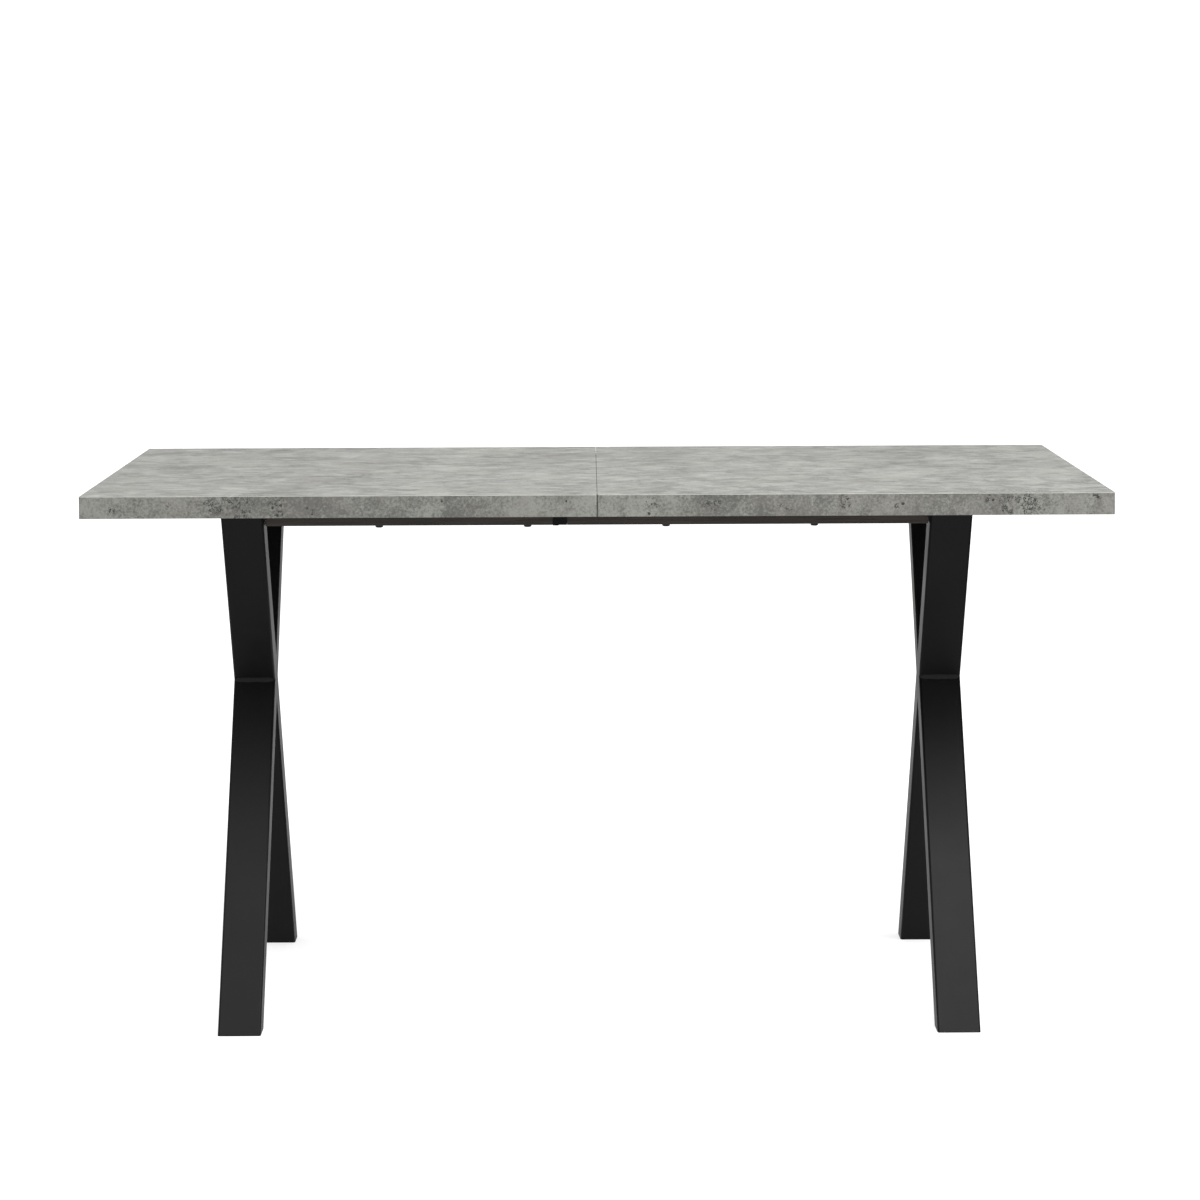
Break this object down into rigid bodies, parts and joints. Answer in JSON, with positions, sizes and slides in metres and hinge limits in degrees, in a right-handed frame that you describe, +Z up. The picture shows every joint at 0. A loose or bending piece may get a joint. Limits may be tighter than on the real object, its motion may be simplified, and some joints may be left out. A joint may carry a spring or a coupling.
{
  "type": "extendable dining table",
  "caption": "Extendable dining table: a two-part concrete-effect top on crossed black steel legs, whose halves slide apart on hidden T-slides.",
  "frame": {"origin": "middle of the closed table's footprint, on the floor", "axes": "+X along the table, +Y towards the rear edge, +Z up"},
  "size_m": [1.4, 0.8, 0.76],
  "materials": {
    "concrete_laminate": "concrete-effect melamine laminate, satin, fine streaks along the table",
    "concrete_edge_band": "concrete-effect edge band with small dark pits",
    "particleboard": "raw particleboard",
    "backer_sheet": "plain grey balancing sheet",
    "black_powder_coat": "fine-textured matte black powder coat",
    "zinc_steel": "bright zinc plate",
    "black_plastic": "moulded black plastic",
    "blackened_steel": "black-finished screws",
    "white_nylon": "natural nylon",
    "rail_wood": "dark-stained hardwood",
    "slide_aluminium": "black anodised extrusion"
  },
  "bodies": {
    "slides": {"front_slide": "slide_aluminium", "rear_slide": "slide_aluminium", "slide_shoes": "white_nylon"},
    "left_half": {"left_top_core": "particleboard", "left_top_laminate": "concrete_laminate", "left_top_backer": "backer_sheet", "left_edge_band": "concrete_edge_band", "left_leg_long_bar": "black_powder_coat", "left_leg_upper_bar": "black_powder_coat", "left_leg_lower_bar": "black_powder_coat", "left_leg_welds": "black_powder_coat", "left_leg_top_plate": "black_powder_coat", "left_leg_screws": "zinc_steel", "left_foot_caps": "black_plastic", "left_front_rail": "rail_wood", "left_rear_rail": "rail_wood", "left_rail_screws": "blackened_steel", "left_rail_end_cap": "black_plastic", "left_rail_liners": "white_nylon", "left_latch_screws": "zinc_steel", "seam_dowels": "white_nylon", "front_latch_plate": "zinc_steel", "front_latch_pivot": "zinc_steel", "rear_latch_keeper": "zinc_steel"},
    "right_half": {"right_top_core": "particleboard", "right_top_laminate": "concrete_laminate", "right_top_backer": "backer_sheet", "right_edge_band": "concrete_edge_band", "right_leg_long_bar": "black_powder_coat", "right_leg_upper_bar": "black_powder_coat", "right_leg_lower_bar": "black_powder_coat", "right_leg_welds": "black_powder_coat", "right_leg_top_plate": "black_powder_coat", "right_leg_screws": "zinc_steel", "right_foot_caps": "black_plastic", "right_front_rail": "rail_wood", "right_rear_rail": "rail_wood", "right_rail_screws": "blackened_steel", "right_rail_end_cap": "black_plastic", "right_rail_liners": "white_nylon", "right_latch_screws": "zinc_steel", "dowel_sleeves": "black_plastic", "rear_latch_plate": "zinc_steel", "rear_latch_pivot": "zinc_steel", "front_latch_keeper": "zinc_steel"},
    "front_latch_hook": {"front_latch_hook": "zinc_steel"},
    "rear_latch_hook": {"rear_latch_hook": "zinc_steel"}
  },
  "joints": [
    {"name": "left_half_slide", "type": "slide", "parent": "slides", "child": "left_half", "axis": [-1, 0, 0], "range_m": [0, 0.2]},
    {"name": "right_half_slide", "type": "slide", "parent": "slides", "child": "right_half", "axis": [1, 0, 0], "range_m": [0, 0.2]},
    {"name": "front_latch_turn", "type": "hinge", "parent": "left_half", "child": "front_latch_hook", "pos_m": [-0.034, -0.09, 0.7256], "axis": [0, 0, -1], "range_deg": [0, 75]},
    {"name": "rear_latch_turn", "type": "hinge", "parent": "right_half", "child": "rear_latch_hook", "pos_m": [0.034, 0.09, 0.7256], "axis": [0, 0, -1], "range_deg": [0, 75]}
  ]
}
